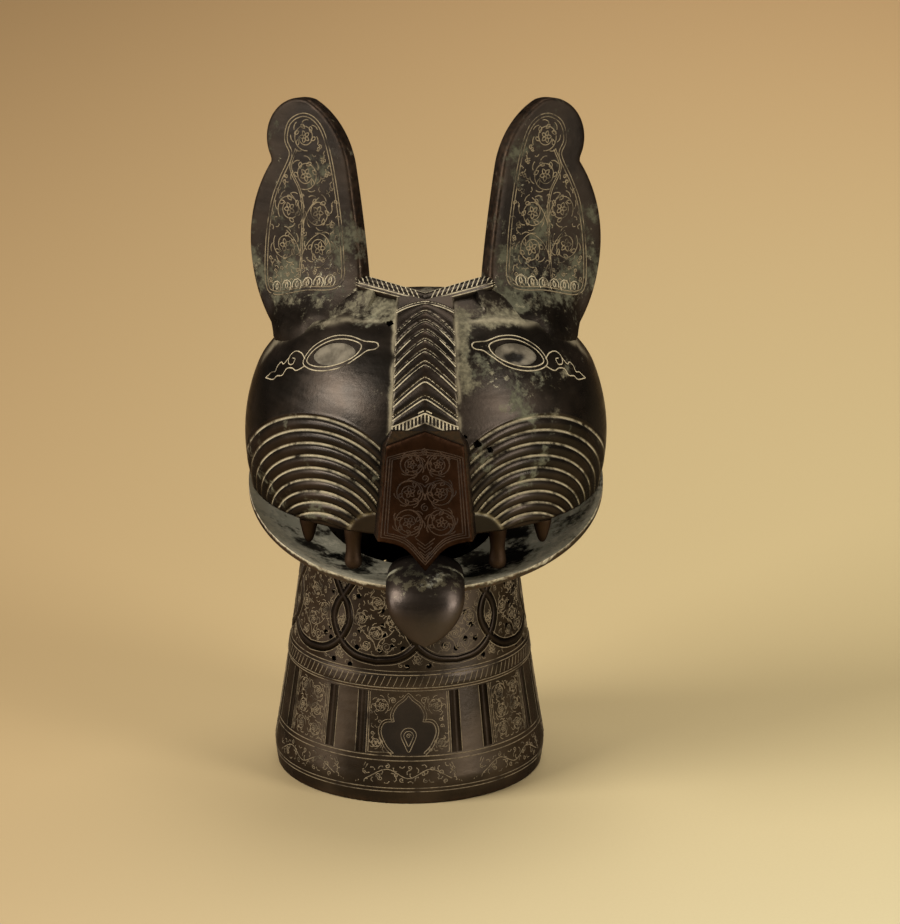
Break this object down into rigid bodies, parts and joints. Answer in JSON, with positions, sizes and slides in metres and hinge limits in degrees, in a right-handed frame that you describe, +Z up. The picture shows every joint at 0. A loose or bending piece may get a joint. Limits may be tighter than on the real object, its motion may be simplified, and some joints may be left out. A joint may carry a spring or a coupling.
{
  "type": "incense burner",
  "caption": "Feline-head incense burner of dark bronze: hollow head with tall ears, open mouth and tongue, hinged at the nape on a flaring pierced neck that holds a fire cup.",
  "frame": {"origin": "centre of the foot on the table, on the axis of the neck", "axes": "+Z up, the face looks along -Y, +X to the viewer's right"},
  "size_m": [0.1228, 0.1215, 0.2352],
  "materials": {
    "patinated_bronze": "near-black brown patina, engraved lines filled with pale deposit",
    "sooty_bronze": "dull soot-darkened bronze",
    "worn_bronze": "handled bronze, warmer at the edges",
    "dark_copper": "reddish-brown oxidised copper",
    "eye_stone": "dull grey stone paste"
  },
  "bodies": {
    "neck": {"neck_sleeve": "patinated_bronze", "base_plate": "sooty_bronze", "hinge_bracket": "worn_bronze", "bracket_rivets": "worn_bronze"},
    "head": {"hinge_pin": "worn_bronze", "left_hinge_lug": "worn_bronze", "right_hinge_lug": "worn_bronze", "skull_shell": "patinated_bronze", "lower_jaw": "patinated_bronze", "crown_bar": "patinated_bronze", "left_ear": "patinated_bronze", "right_ear": "patinated_bronze", "brow_ridge": "patinated_bronze", "nose_plate": "dark_copper", "tongue": "patinated_bronze", "tongue_rivet": "dark_copper", "left_inner_fang": "dark_copper", "right_inner_fang": "dark_copper", "left_outer_fang": "dark_copper", "right_outer_fang": "dark_copper", "left_eye_inlay": "eye_stone", "right_eye_inlay": "eye_stone"},
    "cup": {"fire_cup": "sooty_bronze"}
  },
  "joints": [
    {"name": "head_tilt", "type": "hinge", "parent": "neck", "child": "head", "pos_m": [0, 0.0411, 0.1046], "axis": [-1, 0, 0], "range_deg": [0, 90]},
    {"name": "cup_lift", "type": "slide", "parent": "neck", "child": "cup", "axis": [0, 0, 1], "range_m": [0, 0.08]}
  ]
}
